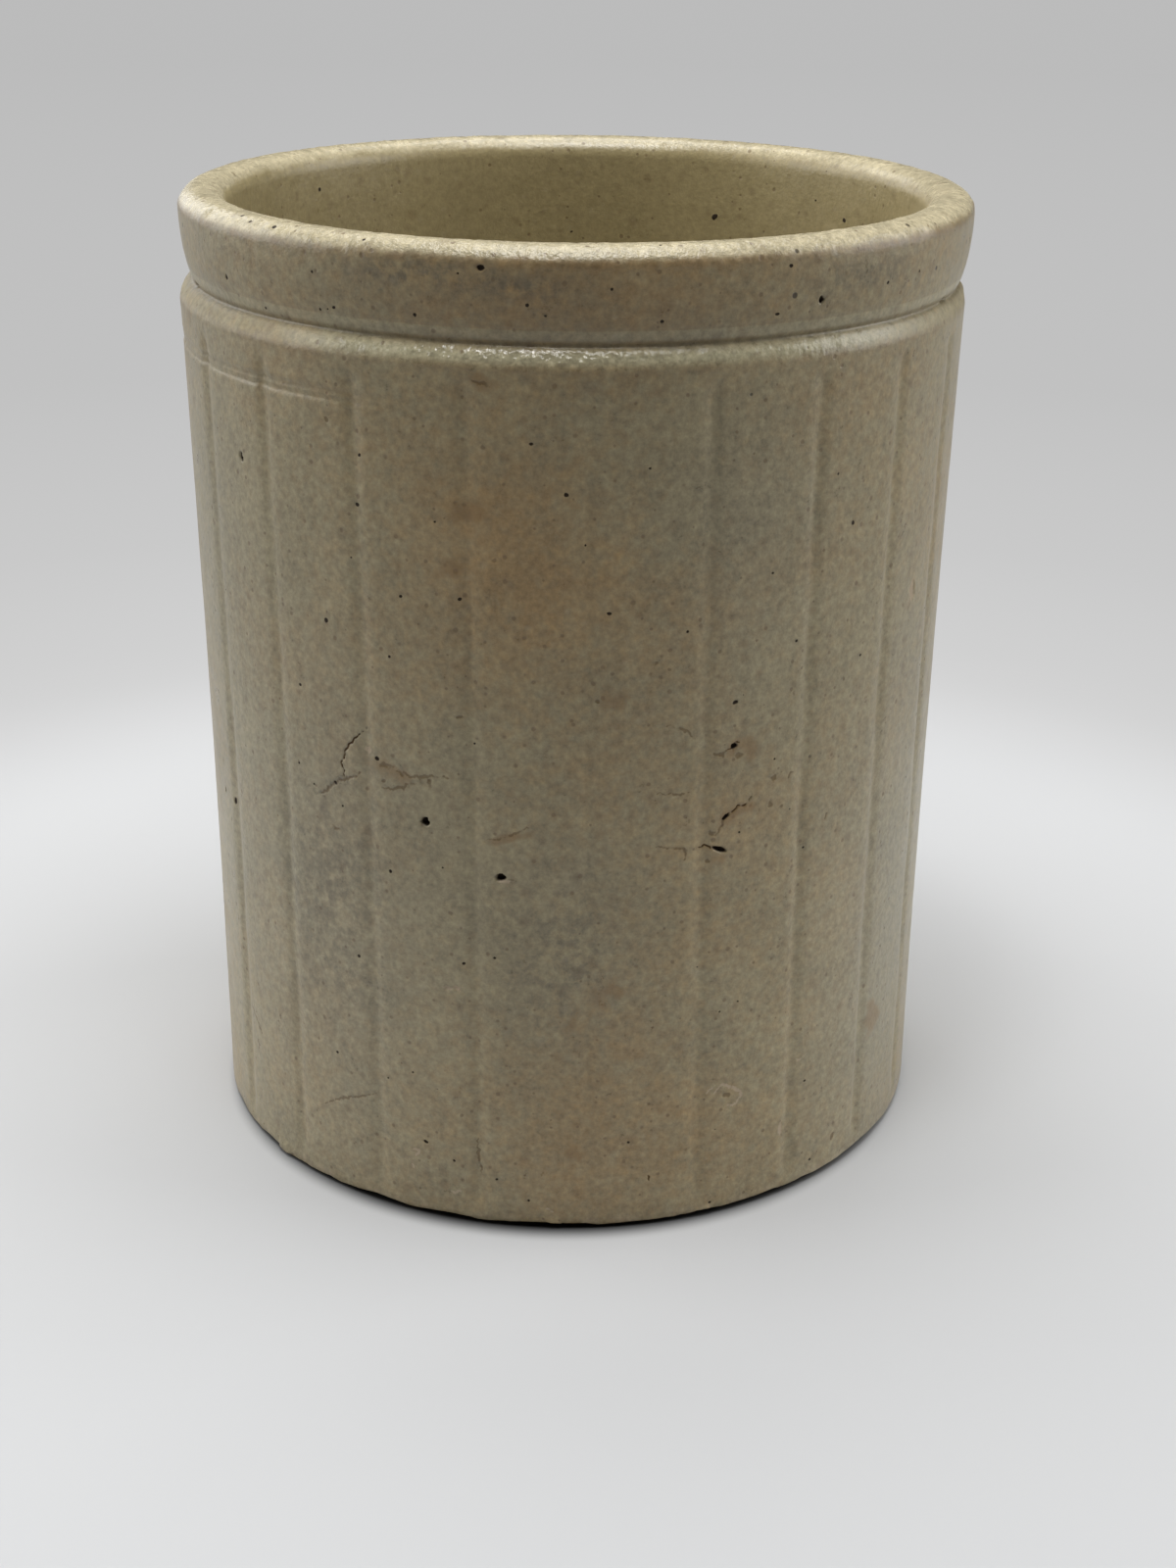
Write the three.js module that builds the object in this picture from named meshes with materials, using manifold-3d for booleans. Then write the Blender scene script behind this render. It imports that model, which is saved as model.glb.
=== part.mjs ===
// Fluted stoneware jam pot: one fired piece of clay, hollow and open at the top.
// Millimetres, +Z up, origin at the centre of the base on the surface it stands on.
// -Y is the side seen from the front.

import * as THREE from 'three';
import { mergeVertices } from 'three/addons/utils/BufferGeometryUtils.js';
import Module from 'manifold-3d';

// Overall body
const POT_HEIGHT = 99.2; // resting face to the top of the lip
const WALL_TOP_RADIUS = 40.0; // outside of the wall, just under the shoulder
const WALL_FOOT_RADIUS = 38.8; // outside of the wall, at the foot
const WALL_WAIST = 0.28; // how far the wall is drawn in halfway up
const FLOOR_THICKNESS = 6.0; // resting face to the inside floor
const WALL_THICKNESS = 5.0; // at the inside floor

// Foot
const FOOT_CHAMFER_HEIGHT = 0.75;
const FOOT_CHAMFER_DEPTH = 0.9;
const RESTING_RING_WIDTH = 5.0; // the flat ring that the pot stands on
const BASE_HOLLOW_DEPTH = 0.6; // rise of the underside at its centre

// Shoulder and tying groove
const COLLAR_BAND = 10.7; // top of the lip down to the lower edge of the shoulder
const SHOULDER_RISE = 1.85; // lower edge of the shoulder up to the groove
const SHOULDER_SWEEP = 75; // degrees of arc that the shoulder turns through
const GROOVE_DEPTH = 2.0; // root of the groove, in from the wall
const GROOVE_MOUTH = 0.4; // gap between shoulder and collar at the mouth of the groove
const GROOVE_MOUTH_DEPTH = 0.4; // root of the groove, in from its mouth

// Collar and lip
const COLLAR_RADIUS = 40.07; // outside of the collar, at its top edge
const COLLAR_SWEEP = 78; // degrees of arc from the top edge down to the groove
const RIM_THICKNESS = 4.9; // collar's top edge in to the mouth of the pot
const LIP_OUTER_RADIUS = 2.3;
const LIP_EDGE_ANGLE = 25; // slope at which the lip meets the collar, in degrees
const LIP_INNER_RADIUS = 2.2;

// Inside
const FLOOR_FILLET = 7.0; // radius between the inside wall and the floor

// Flutes: narrow, shallow upright hollows in the wall
const FLUTE_COUNT = 22;
const FLUTE_PHASE = 3.6; // degrees from the front to the nearest flute, towards +X
const FLUTE_WIDTH = 2.2; // from edge to edge on the wall
const FLUTE_DEPTH = 0.17; // bottom of the flute, in from the wall
const FLUTE_CLEARANCE = 0.2; // part of the cutting shape that stays outside the wall
const FLUTE_TOP_GAP = 0.4; // top of a flute to the lower edge of the shoulder
const FLUTE_FOOT_GAP = 0.5; // top of the foot chamfer to the bottom of a flute
const FLUTE_RUN_OUT = 2.5; // length over which each end of a flute rises out of the wall

// Fineness of the facets
const SIDES_PER_FLUTE = 4; // each flute is centred on a corner of the turned body
const WALL_SPANS = 5;
const HOLLOW_STEPS = 4;
const SHOULDER_STEPS = 6;
const COLLAR_STEPS = 8;
const LIP_STEPS = 5;
const FILLET_STEPS = 6;
const FLUTE_SECTION_STEPS = 7;

// Heights and radii that follow from the sizes above
const shoulderZ = POT_HEIGHT - COLLAR_BAND;
const fluteBottomZ = FOOT_CHAMFER_HEIGHT + FLUTE_FOOT_GAP;
const fluteTopZ = shoulderZ - FLUTE_TOP_GAP;
const grooveZ = shoulderZ + SHOULDER_RISE;
const grooveRadius = WALL_TOP_RADIUS - GROOVE_DEPTH;
const mouthRadius = grooveRadius + GROOVE_MOUTH_DEPTH;
const innerTopRadius = COLLAR_RADIUS - RIM_THICKNESS;
const innerFloorRadius = wallRadius(FLOOR_THICKNESS) - WALL_THICKNESS;

const toRadians = THREE.MathUtils.degToRad;
const point = (radius, height) => new THREE.Vector2(radius, height);

// Outside of the wall at a height: a straight taper, drawn in a little at the middle.
function wallRadius(height) {
  const share = height / (POT_HEIGHT - COLLAR_BAND);
  const taper = WALL_FOOT_RADIUS + (WALL_TOP_RADIUS - WALL_FOOT_RADIUS) * share;
  return taper - WALL_WAIST * 4 * share * (1 - share);
}

// Points of a circular arc about (radius, height), from one angle to another, in degrees.
function arc(radius, height, arcRadius, from, to, steps) {
  const points = [];
  for (let step = 0; step <= steps; step += 1) {
    const angle = toRadians(from + ((to - from) * step) / steps);
    points.push(point(radius + arcRadius * Math.cos(angle), height + arcRadius * Math.sin(angle)));
  }
  return points;
}

// Points of a swelling curve that leaves start upright and turns inwards until it reaches end.
function bend(start, end, sweep, steps) {
  const full = toRadians(sweep);
  const points = [];
  for (let step = 0; step <= steps; step += 1) {
    const angle = (full * step) / steps;
    const inwards = (1 - Math.cos(angle)) / (1 - Math.cos(full));
    const along = Math.sin(angle) / Math.sin(full);
    points.push(point(
      start.x + (end.x - start.x) * inwards,
      start.y + (end.y - start.y) * along,
    ));
  }
  return points;
}

// Underside, from the axis out to the foot: a shallow hollow, the resting ring, the chamfer.
function underside() {
  const restingRadius = wallRadius(FOOT_CHAMFER_HEIGHT) - FOOT_CHAMFER_DEPTH;
  const hollowRadius = restingRadius - RESTING_RING_WIDTH;
  const points = [];
  for (let step = 0; step <= HOLLOW_STEPS; step += 1) {
    const share = step / HOLLOW_STEPS;
    points.push(point(hollowRadius * share, BASE_HOLLOW_DEPTH * (1 - share * share)));
  }
  points.push(point(restingRadius, 0));
  return points;
}

// Heights between the ends of a flute, shared by the wall and the flutes so that they meet cleanly.
function fluteHeights() {
  const fullFrom = fluteBottomZ + FLUTE_RUN_OUT;
  const fullTo = fluteTopZ - FLUTE_RUN_OUT;
  const heights = [];
  for (let span = 0; span <= WALL_SPANS; span += 1) {
    heights.push(fullFrom + ((fullTo - fullFrom) * span) / WALL_SPANS);
  }
  return heights;
}

// Outside wall, from the top of the chamfer to the upper end of the flutes.
function outsideWall() {
  const heights = [FOOT_CHAMFER_HEIGHT, fluteBottomZ, ...fluteHeights(), fluteTopZ];
  return heights.map((height) => point(wallRadius(height), height));
}

// Shoulder, groove root, and the collar that swells out over the groove.
function shoulderAndCollar(lipEdgeZ) {
  const shoulderEnd = point(mouthRadius, grooveZ - GROOVE_MOUTH / 2);
  const collarEnd = point(mouthRadius, grooveZ + GROOVE_MOUTH / 2);
  const shoulder = bend(point(WALL_TOP_RADIUS, shoulderZ), shoulderEnd, SHOULDER_SWEEP, SHOULDER_STEPS);
  const collar = bend(point(COLLAR_RADIUS, lipEdgeZ), collarEnd, COLLAR_SWEEP, COLLAR_STEPS);
  return [...shoulder, point(grooveRadius, grooveZ), ...collar.reverse()];
}

// Lip: an outer and an inner rounding, with what is left of the top between them.
function lip(outerRadius, innerRadius) {
  const outerCentre = COLLAR_RADIUS - outerRadius * Math.cos(toRadians(LIP_EDGE_ANGLE));
  const outer = arc(outerCentre, POT_HEIGHT - outerRadius, outerRadius, LIP_EDGE_ANGLE, 90, LIP_STEPS);
  const innerCentre = innerTopRadius + innerRadius;
  const inner = arc(innerCentre, POT_HEIGHT - innerRadius, innerRadius, 90, 180, LIP_STEPS);
  return [...outer.slice(1), ...inner];
}

// Inside wall, floor fillet and floor, down and back to the axis.
function inside() {
  const fillet = arc(
    innerFloorRadius - FLOOR_FILLET,
    FLOOR_THICKNESS + FLOOR_FILLET,
    FLOOR_FILLET,
    0,
    -90,
    FILLET_STEPS,
  );
  return [...fillet, point(0, FLOOR_THICKNESS)];
}

// The whole section of the pot, from the axis below to the axis above the floor.
function potSection() {
  const outerRadius = Math.min(LIP_OUTER_RADIUS, RIM_THICKNESS / 2);
  const innerRadius = Math.min(LIP_INNER_RADIUS, RIM_THICKNESS - outerRadius);
  const lipEdgeZ = POT_HEIGHT - outerRadius + outerRadius * Math.sin(toRadians(LIP_EDGE_ANGLE));
  return [
    ...underside(),
    ...outsideWall(),
    ...shoulderAndCollar(lipEdgeZ),
    ...lip(outerRadius, innerRadius),
    ...inside(),
  ];
}

// Revolves the section about the axis, from a flute onwards, and stands it up along +Z.
function turnedBody() {
  const sides = FLUTE_COUNT * SIDES_PER_FLUTE;
  const geometry = new THREE.LatheGeometry(potSection(), sides, toRadians(FLUTE_PHASE));
  geometry.rotateX(Math.PI / 2);
  return geometry;
}

// Joins rings of equally many points into one closed skin with flat ends.
function loft(rings) {
  const count = rings[0].length;
  const positions = rings.flat().flatMap((corner) => [corner.x, corner.y, corner.z]);
  const indices = [];
  for (let ring = 0; ring < rings.length - 1; ring += 1) {
    for (let side = 0; side < count; side += 1) {
      const a = ring * count + side;
      const b = ring * count + ((side + 1) % count);
      indices.push(a, b, b + count, a, b + count, a + count);
    }
  }
  const last = (rings.length - 1) * count;
  for (let side = 1; side < count - 1; side += 1) {
    indices.push(0, side + 1, side);
    indices.push(last, last + side, last + side + 1);
  }
  const geometry = new THREE.BufferGeometry();
  geometry.setAttribute('position', new THREE.Float32BufferAttribute(positions, 3));
  geometry.setIndex(indices);
  return geometry;
}

// One section of the shape that cuts a flute, at the front of the pot and at a height: an arc
// whose lowest point lies depth inside the wall, closed by its chord outside the wall.
function fluteSection(height, depth) {
  const halfWidth = FLUTE_WIDTH / 2;
  const arcRadius = (halfWidth * halfWidth + FLUTE_DEPTH * FLUTE_DEPTH) / (2 * FLUTE_DEPTH);
  const halfAngle = Math.acos(1 - (FLUTE_DEPTH + FLUTE_CLEARANCE) / arcRadius);
  const centre = wallRadius(height) - depth + arcRadius;
  const points = [];
  for (let step = 0; step <= FLUTE_SECTION_STEPS; step += 1) {
    const angle = halfAngle * (1 - (2 * step) / FLUTE_SECTION_STEPS);
    const out = centre - arcRadius * Math.cos(angle);
    points.push(new THREE.Vector3(arcRadius * Math.sin(angle), -out, height));
  }
  return points;
}

// The shape that cuts a flute: its section carried up the wall, with ends that rise clear of it.
function fluteCutter() {
  const clear = -FLUTE_CLEARANCE / 2;
  return loft([
    fluteSection(fluteBottomZ, clear),
    ...fluteHeights().map((height) => fluteSection(height, FLUTE_DEPTH)),
    fluteSection(fluteTopZ, clear),
  ]);
}

const wasm = await Module();
wasm.setup();

// A closed skin as a solid that others can be cut from.
function toSolid(geometry) {
  geometry.deleteAttribute('normal');
  geometry.deleteAttribute('uv');
  const merged = mergeVertices(geometry, 1e-4);
  const corners = merged.index.array;
  const kept = [];
  for (let start = 0; start < corners.length; start += 3) {
    const [a, b, c] = corners.slice(start, start + 3);
    if (a !== b && b !== c && c !== a) kept.push(a, b, c);
  }
  return new wasm.Manifold(new wasm.Mesh({
    numProp: 3,
    vertProperties: new Float32Array(merged.attributes.position.array),
    triVerts: new Uint32Array(kept),
  }));
}

// A solid back as a geometry for a mesh.
function toGeometry(solid) {
  const { vertProperties, triVerts } = solid.getMesh();
  const geometry = new THREE.BufferGeometry();
  geometry.setAttribute('position', new THREE.BufferAttribute(new Float32Array(vertProperties), 3));
  geometry.setIndex(new THREE.BufferAttribute(new Uint32Array(triVerts), 1));
  geometry.computeVertexNormals();
  return geometry;
}

// The body with its flutes cut into the wall.
function flutedBody() {
  let body = toSolid(turnedBody());
  for (let index = 0; index < FLUTE_COUNT; index += 1) {
    const angle = FLUTE_PHASE + (360 * index) / FLUTE_COUNT;
    body = body.subtract(toSolid(fluteCutter().rotateZ(toRadians(angle))));
  }
  return toGeometry(body);
}

const glazedStoneware = new THREE.MeshStandardMaterial({
  color: 0xb0a58c,
  roughness: 0.42,
  metalness: 0,
});

const potBody = new THREE.Mesh(flutedBody(), glazedStoneware);
potBody.name = 'pot_body';

const jamPot = new THREE.Group();
jamPot.name = 'jam_pot';
jamPot.add(potBody);

export default jamPot;
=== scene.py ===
# Fluted stoneware jam pot on a pale floor under soft studio light.
# Metres, +Z up, -Y towards the viewer, +X to the viewer's right.

import math

import bmesh
import bpy
from mathutils import Matrix, Vector, noise
from mathutils.bvhtree import BVHTree
from mathutils.kdtree import KDTree


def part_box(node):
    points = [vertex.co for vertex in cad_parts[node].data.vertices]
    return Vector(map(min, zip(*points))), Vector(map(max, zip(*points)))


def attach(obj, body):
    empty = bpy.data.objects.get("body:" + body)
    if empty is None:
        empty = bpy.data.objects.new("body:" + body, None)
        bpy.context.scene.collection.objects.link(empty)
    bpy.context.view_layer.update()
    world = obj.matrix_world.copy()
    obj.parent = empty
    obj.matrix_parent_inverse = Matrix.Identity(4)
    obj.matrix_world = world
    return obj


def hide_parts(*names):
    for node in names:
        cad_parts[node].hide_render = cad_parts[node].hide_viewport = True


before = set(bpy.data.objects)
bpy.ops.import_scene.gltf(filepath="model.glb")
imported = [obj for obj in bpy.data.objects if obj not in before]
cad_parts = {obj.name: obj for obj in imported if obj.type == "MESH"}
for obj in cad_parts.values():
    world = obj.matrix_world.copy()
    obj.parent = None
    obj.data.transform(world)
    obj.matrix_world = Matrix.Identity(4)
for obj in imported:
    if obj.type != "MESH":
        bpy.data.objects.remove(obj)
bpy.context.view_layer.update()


# Camera
# It stands in front of the pot and looks down on it, with the lens and the small lean
# of the photograph.

PHOTO_HEIGHT_PX = 1600
FOCAL_LENGTH_PX = 2404
SENSOR_MM = 36.0
LOOK_DOWN = math.radians(22.27)
LOOK_LEFT = math.radians(0.16)
CAMERA_LEAN = math.radians(0.586)
CAMERA_PLACE = Vector((0.00276, -0.24416, 0.1332))

camera_data = bpy.data.cameras.new("studio_camera")
camera_data.sensor_width = SENSOR_MM
camera_data.lens = FOCAL_LENGTH_PX / PHOTO_HEIGHT_PX * SENSOR_MM
camera_data.clip_start = 0.01
camera = bpy.data.objects.new("studio_camera", camera_data)
camera.matrix_world = (
    Matrix.Translation(CAMERA_PLACE)
    @ Matrix.Rotation(LOOK_LEFT, 4, "Z")
    @ Matrix.Rotation(math.pi / 2 - LOOK_DOWN, 4, "X")
    @ Matrix.Rotation(CAMERA_LEAN, 4, "Z")
)
bpy.context.scene.collection.objects.link(camera)
bpy.context.scene.camera = camera
bpy.context.scene.view_settings.view_transform = "Standard"


# Lights
# Two soft boxes and a small lamp hang above the pot and give most of the light. Three dim
# ones stand round it, for the pale walls that send some of it back.

LIGHTS = (
    ("front_soft_box", (0.0, -0.13, 0.63), 0.38, 2.25),
    ("ceiling_lamp", (-0.05, -0.12, 0.62), 0.08, 0.40),
    ("rear_soft_box", (0.0, 0.25, 0.60), 0.30, 0.95),
    ("left_wall_glow", (-0.60, 0.05, 0.30), 0.50, 2.05),
    ("right_wall_glow", (0.60, 0.05, 0.30), 0.50, 2.32),
    ("back_wall_glow", (-0.45, 0.50, 0.30), 0.50, 1.30),
)
POT_MIDDLE = Vector((0.0, 0.0, 0.05))


def hang_light(name, place, size, watts):
    """A soft square light that faces the middle of the pot."""
    data = bpy.data.lights.new(name, "AREA")
    data.size = size
    data.energy = watts
    light = bpy.data.objects.new(name, data)
    light.location = place
    light.rotation_mode = "QUATERNION"
    light.rotation_quaternion = (POT_MIDDLE - Vector(place)).to_track_quat("-Z", "Y")
    bpy.context.scene.collection.objects.link(light)
    return light


for light_name, light_place, light_size, light_watts in LIGHTS:
    hang_light(light_name, light_place, light_size, light_watts)


# Room
# A pale wall closes the view behind the pot. It is seen by the camera and by rays passing
# through, and gives next to no light of its own.

WALL_TONE = 0.50
ROOM_GLOW = 0.01

room = bpy.data.worlds.new("room")
room.use_nodes = True
room_nodes, room_links = room.node_tree.nodes, room.node_tree.links
room_ray = room_nodes.new("ShaderNodeLightPath")
room_seen = room_nodes.new("ShaderNodeMath")
room_seen.operation = "MAXIMUM"
room_links.new(room_ray.outputs["Is Camera Ray"], room_seen.inputs[0])
room_links.new(room_ray.outputs["Is Transmission Ray"], room_seen.inputs[1])
room_tone = room_nodes.new("ShaderNodeMapRange")
room_tone.inputs["To Min"].default_value = ROOM_GLOW
room_tone.inputs["To Max"].default_value = WALL_TONE
room_links.new(room_seen.outputs[0], room_tone.inputs["Value"])
room_links.new(room_tone.outputs["Result"], room_nodes["Background"].inputs["Strength"])
room_nodes["Background"].inputs["Color"].default_value = (1.0, 1.0, 1.0, 1.0)
bpy.context.scene.world = room


# Floor
# A wide sheet of white paper, with a painted shadow close to the foot, most in front. Away
# from the pot it runs on to the pale wall, so its far part glows with painted light in that
# wall's tones where it is seen.

FLOOR_REACH = 4.0
PAPER_COLOUR = (0.640, 0.647, 0.655, 1.0)
TABLE_COLOUR = (0.06, 0.06, 0.06, 1.0)
TABLE_FROM, TABLE_TO = 0.13, 0.24
FOOT_PAINTED_SHADOW = (0.03, 0.03, 0.03, 1.0)
SHADE_CENTRE = (-0.0004, -0.0026, 0.0)
SHADE_FROM, SHADE_TO = 0.0357, 0.0388
FAR_FROM, FAR_TO = 0.095, 0.15
FAR_TONES = (
    (0.10, 0.70), (0.13, 0.67), (0.16, 0.63), (0.22, 0.585), (0.37, 0.535), (1.2, 0.50)
)

floor_mesh = bpy.data.meshes.new("paper_floor")
floor_mesh.from_pydata(
    [
        (-FLOOR_REACH, -FLOOR_REACH, 0.0),
        (FLOOR_REACH, -FLOOR_REACH, 0.0),
        (FLOOR_REACH, FLOOR_REACH, 0.0),
        (-FLOOR_REACH, FLOOR_REACH, 0.0),
    ],
    [],
    [(0, 1, 2, 3)],
)
floor = bpy.data.objects.new("paper_floor", floor_mesh)
bpy.context.scene.collection.objects.link(floor)

paper = bpy.data.materials.new("white_paper")
paper.use_nodes = True
paper_nodes, paper_links = paper.node_tree.nodes, paper.node_tree.links
paper_coat = paper_nodes["Principled BSDF"]
paper_coat.inputs["Roughness"].default_value = 0.9
paper_coat.inputs["Specular IOR Level"].default_value = 0.1
paper_place = paper_nodes.new("ShaderNodeTexCoord")
paper_reach = paper_nodes.new("ShaderNodeVectorMath")
paper_reach.operation = "LENGTH"
paper_links.new(paper_place.outputs["Object"], paper_reach.inputs[0])
paper_round = paper_nodes.new("ShaderNodeVectorMath")
paper_round.operation = "DISTANCE"
paper_round.inputs[1].default_value = SHADE_CENTRE
paper_links.new(paper_place.outputs["Object"], paper_round.inputs[0])


def paper_step(distance, start, end):
    """Soft step from 0 to 1 between two values of a distance."""
    step = paper_nodes.new("ShaderNodeMapRange")
    step.interpolation_type = "SMOOTHSTEP"
    step.inputs["From Min"].default_value = start
    step.inputs["From Max"].default_value = end
    paper_links.new(distance.outputs["Value"], step.inputs["Value"])
    return step.outputs["Result"]


# Painted shadow: close to the foot the paper darkens to near black, in a ring centred a little to
# the front
paper_painted_shadow = paper_nodes.new("ShaderNodeMix")
paper_painted_shadow.data_type = "RGBA"
paper_painted_shadow.inputs[6].default_value = FOOT_PAINTED_SHADOW
paper_painted_shadow.inputs[7].default_value = PAPER_COLOUR
paper_links.new(paper_step(paper_round, SHADE_FROM, SHADE_TO), paper_painted_shadow.inputs[0])
paper_end = paper_nodes.new("ShaderNodeMix")
paper_end.data_type = "RGBA"
paper_end.inputs[7].default_value = TABLE_COLOUR
paper_links.new(paper_painted_shadow.outputs[2], paper_end.inputs[6])
paper_links.new(paper_step(paper_reach, TABLE_FROM, TABLE_TO), paper_end.inputs[0])
paper_links.new(paper_end.outputs[2], paper_coat.inputs["Base Color"])
# Painted light: seen by the camera and in the glaze, the far paper glows, paler near the pot and
# greyer further off
far_reach = paper_nodes.new("ShaderNodeMapRange")
far_reach.inputs["From Max"].default_value = FAR_TONES[-1][0]
paper_links.new(paper_reach.outputs["Value"], far_reach.inputs["Value"])
far_tone = paper_nodes.new("ShaderNodeValToRGB")
stops = far_tone.color_ramp.elements
for stop, (reach, tone) in enumerate(FAR_TONES):
    element = stops[stop] if stop < 2 else stops.new(1.0)
    element.position = reach / FAR_TONES[-1][0]
    element.color = (tone, tone, tone, 1.0)
paper_links.new(far_reach.outputs["Result"], far_tone.inputs[0])
far_glow = paper_nodes.new("ShaderNodeEmission")
paper_links.new(far_tone.outputs[0], far_glow.inputs["Color"])
paper_ray = paper_nodes.new("ShaderNodeLightPath")
looked_at = paper_nodes.new("ShaderNodeMath")
looked_at.operation = "MAXIMUM"
paper_links.new(paper_ray.outputs["Is Camera Ray"], looked_at.inputs[0])
paper_links.new(paper_ray.outputs["Is Glossy Ray"], looked_at.inputs[1])
far_seen = paper_nodes.new("ShaderNodeMath")
far_seen.operation = "MULTIPLY"
paper_links.new(looked_at.outputs[0], far_seen.inputs[0])
paper_links.new(paper_step(paper_reach, FAR_FROM, FAR_TO), far_seen.inputs[1])
paper_mix = paper_nodes.new("ShaderNodeMixShader")
paper_links.new(far_seen.outputs[0], paper_mix.inputs["Fac"])
paper_links.new(paper_coat.outputs[0], paper_mix.inputs[1])
paper_links.new(far_glow.outputs[0], paper_mix.inputs[2])
paper_links.new(paper_mix.outputs[0], paper_nodes["Material Output"].inputs["Surface"])
floor_mesh.materials.append(paper)


# Pot, shape
# One piece of stoneware clay, pressed in a fluted mould and finished on the wheel. Its
# turned section runs from the underside up the wall, over shoulder, groove, collar and
# lip, and down the inside. The flutes are shallow hollows that stop short of both ends.

POT_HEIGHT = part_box("pot_body")[1].z
WALL_TOP_RADIUS = 0.0400
WALL_FOOT_RADIUS = 0.0388
WALL_WAIST = 0.00028
WALL_THICKNESS = 0.0050
FLOOR_THICKNESS = 0.0060
FOOT_CHAMFER_HEIGHT = 0.00055
FOOT_CHAMFER_DEPTH = 0.0030
FOOT_ROUND = 0.00022
RESTING_RING_WIDTH = 0.0040
BASE_HOLLOW_DEPTH = 0.0006
COLLAR_BAND = 0.0107
SHOULDER_RISE = 0.0020
SHOULDER_BREAK = 12.0
SHOULDER_SWEEP = 72.0
GROOVE_DEPTH = 0.00115
GROOVE_MOUTH = 0.00035
GROOVE_MOUTH_DEPTH = 0.00012
COLLAR_RADIUS = 0.04007
COLLAR_SWEEP = 60.0
RIM_THICKNESS = 0.0049
LIP_OUTER_RADIUS = 0.0023
LIP_INNER_RADIUS = 0.0022
LIP_EDGE_ANGLE = 25.0
FLOOR_FILLET = 0.0070
HOLLOW_ROUND = 0.0006
GROOVE_ROUND = 0.00015
CORNER_ROUND = 0.00025
RIM_CORNER_ROUND = 0.00055
ROW_SPACING = 0.0018
FOOT_ROWS_UP_TO = 0.0034
SCORED_ROWS_BELOW = 0.0048
SCORED_ROW_SPACING = 0.00023
INSIDE_ROW_SPACING = 0.0028
COLUMNS_PER_FLUTE = 16
UNROLLED_RADIUS = 0.0395
INSIDE_UP_TO, OUTSIDE_FROM = 0.0365, 0.0372
INSIDE_SHIFT_FROM = 0.045
SCORED_LINES_BELOW = (0.0034, 0.0041)
SCORED_LINES_FADE = (-15, -42)
SCORED_LINE_WIDTH = 0.00018
NOISE_MIDDLE = 0.55
SEAM_GAP = 0.000004

shoulder_height = POT_HEIGHT - COLLAR_BAND
groove_height = shoulder_height + SHOULDER_RISE


def wall_radius(height):
    """Outside of the wall: a straight taper, drawn in a little halfway up."""
    share = height / shoulder_height
    taper = WALL_FOOT_RADIUS + (WALL_TOP_RADIUS - WALL_FOOT_RADIUS) * share
    return taper - WALL_WAIST * 4 * share * (1 - share)


def rising(low, high, spacing):
    """Heights from low to high, both ends kept."""
    steps = max(1, round(abs(high - low) / spacing))
    return [low + (high - low) * step / steps for step in range(steps + 1)]


def arc(radius, height, arc_radius, start, end, steps):
    """Points of a round stretch about (radius, height), between two angles in degrees."""
    points = []
    for step in range(steps + 1):
        angle = math.radians(start + (end - start) * step / steps)
        across, along = arc_radius * math.cos(angle), arc_radius * math.sin(angle)
        points.append((radius + across, height + along))
    return points


def bend(start, end, sweep_from, sweep_to, steps):
    """Points of a swelling curve that leans sweep_from degrees at start and turns inwards."""
    first, last = math.radians(sweep_from), math.radians(sweep_to)
    points = []
    for step in range(steps + 1):
        angle = first + (last - first) * step / steps
        inwards = (math.cos(first) - math.cos(angle)) / (math.cos(first) - math.cos(last))
        along = (math.sin(angle) - math.sin(first)) / (math.sin(last) - math.sin(first))
        radius = start[0] + (end[0] - start[0]) * inwards
        points.append((radius, start[1] + (end[1] - start[1]) * along))
    return points


def eased(before, corner, after, radius):
    """Points that round a corner off, between its two neighbours."""
    spot, back, ahead = Vector(corner), Vector(before), Vector(after)
    start = spot + (back - spot).normalized() * radius
    end = spot + (ahead - spot).normalized() * radius
    points = []
    for step in range(5):
        share = step / 4
        low, high = start.lerp(spot, share), spot.lerp(end, share)
        points.append(tuple(low.lerp(high, share)))
    return points


def underside():
    """From the axis out to the foot of the wall: shallow hollow, resting ring, chamfer."""
    resting = wall_radius(FOOT_CHAMFER_HEIGHT) - FOOT_CHAMFER_DEPTH
    hollow = resting - RESTING_RING_WIDTH
    points = []
    for step in range(5):
        share = step / 5
        points.append((hollow * share, BASE_HOLLOW_DEPTH * (1 - share * share)))
    chamfer = (wall_radius(FOOT_CHAMFER_HEIGHT), FOOT_CHAMFER_HEIGHT)
    above = (wall_radius(0.003), 0.003)
    points += eased(points[-1], (hollow, 0.0), (resting, 0.0), HOLLOW_ROUND)
    points.append(((hollow + resting) / 2, 0.0))
    points += eased((hollow, 0.0), (resting, 0.0), chamfer, CORNER_ROUND)
    points += eased((resting, 0.0), chamfer, above, FOOT_ROUND)
    return points


def outside_wall():
    """From the foot chamfer up to the lower edge of the shoulder."""
    top = shoulder_height - SCORED_ROWS_BELOW
    heights = rising(0.0014, FOOT_ROWS_UP_TO, 0.0005)[:-1]
    heights += rising(FOOT_ROWS_UP_TO, top, ROW_SPACING)[:-1]
    heights += rising(top, shoulder_height - 0.0002, SCORED_ROW_SPACING)
    return [(wall_radius(height), height) for height in heights]


def shoulder_and_collar(lip_edge):
    """Shoulder, root of the tying groove, and the collar that swells out over it."""
    mouth = WALL_TOP_RADIUS - GROOVE_DEPTH + GROOVE_MOUTH_DEPTH
    shoulder_end = (mouth, groove_height - GROOVE_MOUTH / 2)
    collar_end = (mouth, groove_height + GROOVE_MOUTH / 2)
    shoulder_start = (WALL_TOP_RADIUS, shoulder_height)
    shoulder = bend(shoulder_start, shoulder_end, SHOULDER_BREAK, SHOULDER_SWEEP, 10)
    collar = bend(lip_edge, collar_end, 0.0, COLLAR_SWEEP, 18)
    root = (WALL_TOP_RADIUS - GROOVE_DEPTH, groove_height)
    return shoulder + eased(shoulder_end, root, collar_end, GROOVE_ROUND) + collar[::-1]


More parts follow.
